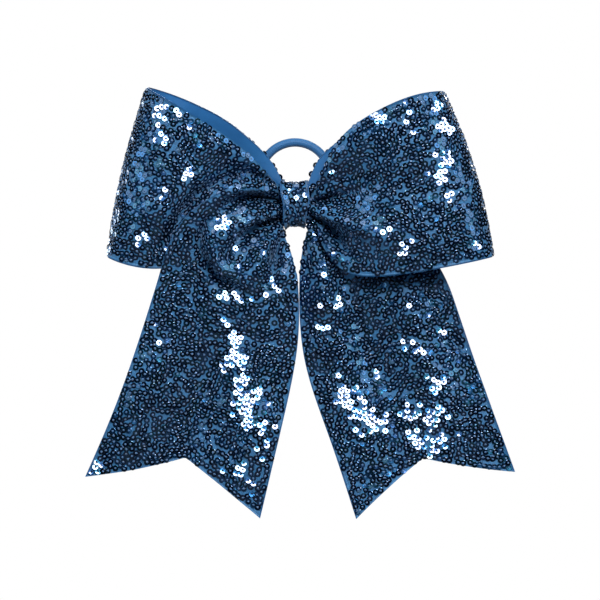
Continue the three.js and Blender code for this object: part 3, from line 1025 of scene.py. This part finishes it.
def binding_piece(mats):
    """The turns of thread round the three gathered layers."""
    low, high = node_box("binding_thread")
    radius = 0.4
    turns = 3
    steps = 48 * turns
    middle, half = (low + high) / 2, (high - low) / 2 - radius
    t = np.linspace(0, 1, steps)
    angle = 2 * math.pi * turns * t
    c, s = np.cos(angle), np.sin(angle)
    stretch = (np.abs(c) ** 6 + np.abs(s) ** 6) ** (-1 / 6)
    offsets = np.stack([2 * t - 1, c * stretch, s * stretch], -1)
    path = middle + half * offsets
    twist = radius * (1 + 0.08 * np.sin(t * steps * 1.1))
    piece = wear(tube_piece("binding_thread_turns", path, twist, sides=12), mats["binding"])
    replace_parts(piece, "binding_thread")
    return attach(piece, "knot")


def make_knot(mats):
    strip = wrap_strip()
    fabric = wear(slab("knot_wrap_sequin_mesh", strip, LAYER_GAP / 2, FACE_LIFT, inset=0.35), mats["mesh"])
    backing = wear(slab("knot_wrap_backing_ribbon", strip, -0.5, -LAYER_GAP / 2), mats["satin"])
    sequins, thread = sequin_pieces("knot_wrap", strip, 105, (120, 30), margin=0.8, spacing=2.05)
    wear(thread, mats["thread"], mats["shade-painted thread"])
    worn = [(fabric, "sequin_face"), (backing, "satin_backing"), (thread, "thread")]
    for piece, slot_name in worn + [(wear(each, *mats["sequins"]), "sequin_face") for each in sequins]:
        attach(piece, "knot")
    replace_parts(fabric, "knot_wrap_sequin_face")
    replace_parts(backing, "knot_wrap_backing")
    length, width = strip.lengths()
    for layer in ("front", "middle", "back"):
        pleat_piece(layer + "_gathers", layer + "_pleats", mats["satin"])
    binding_piece(mats)
    glue_piece("wrap_lap_glue", "knot_wrap_glue", mats["glue"], 41)
    glue_piece("hair_tie_glue", "hair_tie_glue_pad", mats["glue"], 42)


# ---- Hair tie ----
def make_hair_tie(mats):
    crown_low, crown_high = node_box("hair_tie_crown")
    end_low, end_high = node_box("hair_tie_left_end")
    radius = (crown_high[1] - crown_low[1]) / 2
    y = (crown_low[1] + crown_high[1]) / 2
    loop = (crown_high[0] - crown_low[0]) / 2 - radius
    centre_z = crown_high[2] - radius - loop
    base_z = (end_low[2] + end_high[2]) / 2
    base_x = -end_low[0]
    quarter = np.linspace(0, math.pi / 2, 26)
    leg_x = base_x + (loop - base_x) * np.sin(quarter)
    leg_z = centre_z - (centre_z - base_z) * np.cos(quarter)
    over = np.linspace(0, math.pi, 60)[1:-1]
    x = np.concatenate([leg_x, loop * np.cos(over), -leg_x[::-1]])
    z = np.concatenate([leg_z, centre_z + loop * np.sin(over), leg_z[::-1]])
    path = np.stack([x, np.full(len(x), y), z], -1)
    ring = wear(tube_piece("hair_tie_loop", path, radius, sides=28), mats["elastic"])
    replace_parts(ring, "hair_tie_left_leg", "hair_tie_right_leg", "hair_tie_crown")
    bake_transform(ring)
    for side, node in ((-1, "hair_tie_left_end"), (1, "hair_tie_right_end")):
        inner = 0.8
        line = np.linspace(side * (base_x + 0.3), side * inner, 12)
        ends = np.stack([line, np.full(12, y), np.full(12, base_z)], -1)
        piece = wear(tube_piece(node + "_cord", ends, radius - 0.03, sides=28), mats["elastic"])
        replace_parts(piece, node)
        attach(piece, "knot")
    glue_piece("hair_tie_joint_glue", "hair_tie_end_joint", mats["glue"], 43)


# ---- Studio ----
VIEW_HEIGHT_MM = 257.5  # what the picture takes in at the bow's own distance
VIEW_CENTRE = (2.1, -20.0, -41.2)


def make_camera():
    data = bpy.data.cameras.new("camera")
    data.lens = 400
    data.sensor_width = 36
    distance = VIEW_HEIGHT_MM / 2 / (data.sensor_width / 2 / data.lens)
    camera = bpy.data.objects.new("camera", data)
    camera.location = [a * MM for a in (VIEW_CENTRE[0], VIEW_CENTRE[1] - distance, VIEW_CENTRE[2])]
    camera.rotation_euler = (math.pi / 2, 0, 0)
    bpy.context.scene.collection.objects.link(camera)
    bpy.context.scene.camera = camera


def area_light(name, place, size, watts, color=(1, 1, 1)):
    data = bpy.data.lights.new(name, "AREA")
    data.shape = "DISK"
    data.size = size
    data.energy = watts
    data.color = color
    light = bpy.data.objects.new(name, data)
    light.location = place
    towards = np.array(VIEW_CENTRE) * MM - np.array(place)
    light.rotation_mode = "QUATERNION"
    light.rotation_quaternion = Vector(towards).to_track_quat("-Z", "Y")
    bpy.context.scene.collection.objects.link(light)
    return light


def make_floor():
    """A plain pale floor. The camera sees it evenly lit; the bow sees it darker, as in a large room."""
    size = 4
    floor_z = float(CAD_LOW[2]) - 0.35
    mesh = bpy.data.meshes.new("floor")
    corners = [(-size, -size, floor_z), (size, -size, floor_z), (size, size, floor_z), (-size, size, floor_z)]
    mesh.from_pydata(corners, [], [(0, 1, 2, 3)])
    floor = bpy.data.objects.new("floor", mesh)
    bpy.context.scene.collection.objects.link(floor)
    paint, nodes, links, shader = material("floor_paint")
    shader.inputs["Base Color"].default_value = (0.2, 0.22, 0.25, 1)
    shader.inputs["Roughness"].default_value = 0.9
    seen = nodes.new("ShaderNodeEmission")
    seen.inputs["Color"].default_value = (0.9, 0.91, 0.93, 1)
    path = nodes.new("ShaderNodeLightPath")
    mix = nodes.new("ShaderNodeMixShader")
    links.new(path.outputs["Is Camera Ray"], mix.inputs[0])
    links.new(shader.outputs[0], mix.inputs[1])
    links.new(seen.outputs[0], mix.inputs[2])
    links.new(mix.outputs[0], nodes["Material Output"].inputs["Surface"])
    wear(floor, paint)


def make_studio():
    world = bpy.data.worlds.new("studio")
    bpy.context.scene.world = world
    world.use_nodes = True
    nodes, links = world.node_tree.nodes, world.node_tree.links
    shown = nodes["Background"]
    shown.inputs["Color"].default_value = (1, 1, 1, 1)
    shown.inputs["Strength"].default_value = 1.0
    room = nodes.new("ShaderNodeBackground")
    room.inputs["Color"].default_value = (0.75, 0.8, 0.9, 1)
    room.inputs["Strength"].default_value = 0.02
    path = nodes.new("ShaderNodeLightPath")
    mix = nodes.new("ShaderNodeMixShader")
    links.new(path.outputs["Is Camera Ray"], mix.inputs[0])
    links.new(room.outputs[0], mix.inputs[1])
    links.new(shown.outputs[0], mix.inputs[2])
    links.new(mix.outputs[0], nodes["World Output"].inputs[0])
    key_way = np.array(KEY_WAY) / np.linalg.norm(KEY_WAY)
    area_light("key", tuple(key_way * 1.6), 0.36, 19)
    area_light("left_softbox", (-1.3, -0.6, 0.5), 0.8, 9, (0.5, 0.82, 1))
    area_light("right_softbox", (1.3, -0.6, 0.45), 0.7, 8, (0.5, 0.82, 1))
    area_light("left_fill", (-0.7, -1.4, 0.35), 0.36, 1.2, (0.4, 0.8, 1))
    area_light("top_softbox", (0.0, -0.7, 1.4), 0.8, 12, (0.7, 0.9, 1))
    area_light("back_softbox", (0.5, 1.5, 0.7), 0.9, 18)
    area_light("low_back_softbox", (-1.0, 1.1, -0.1), 0.7, 9, (0.8, 0.9, 1))
    make_floor()
    bpy.context.scene.view_settings.view_transform = "Standard"


make_camera()
materials = make_materials()
make_ribbon(materials)
make_knot(materials)
make_hair_tie(materials)
make_studio()
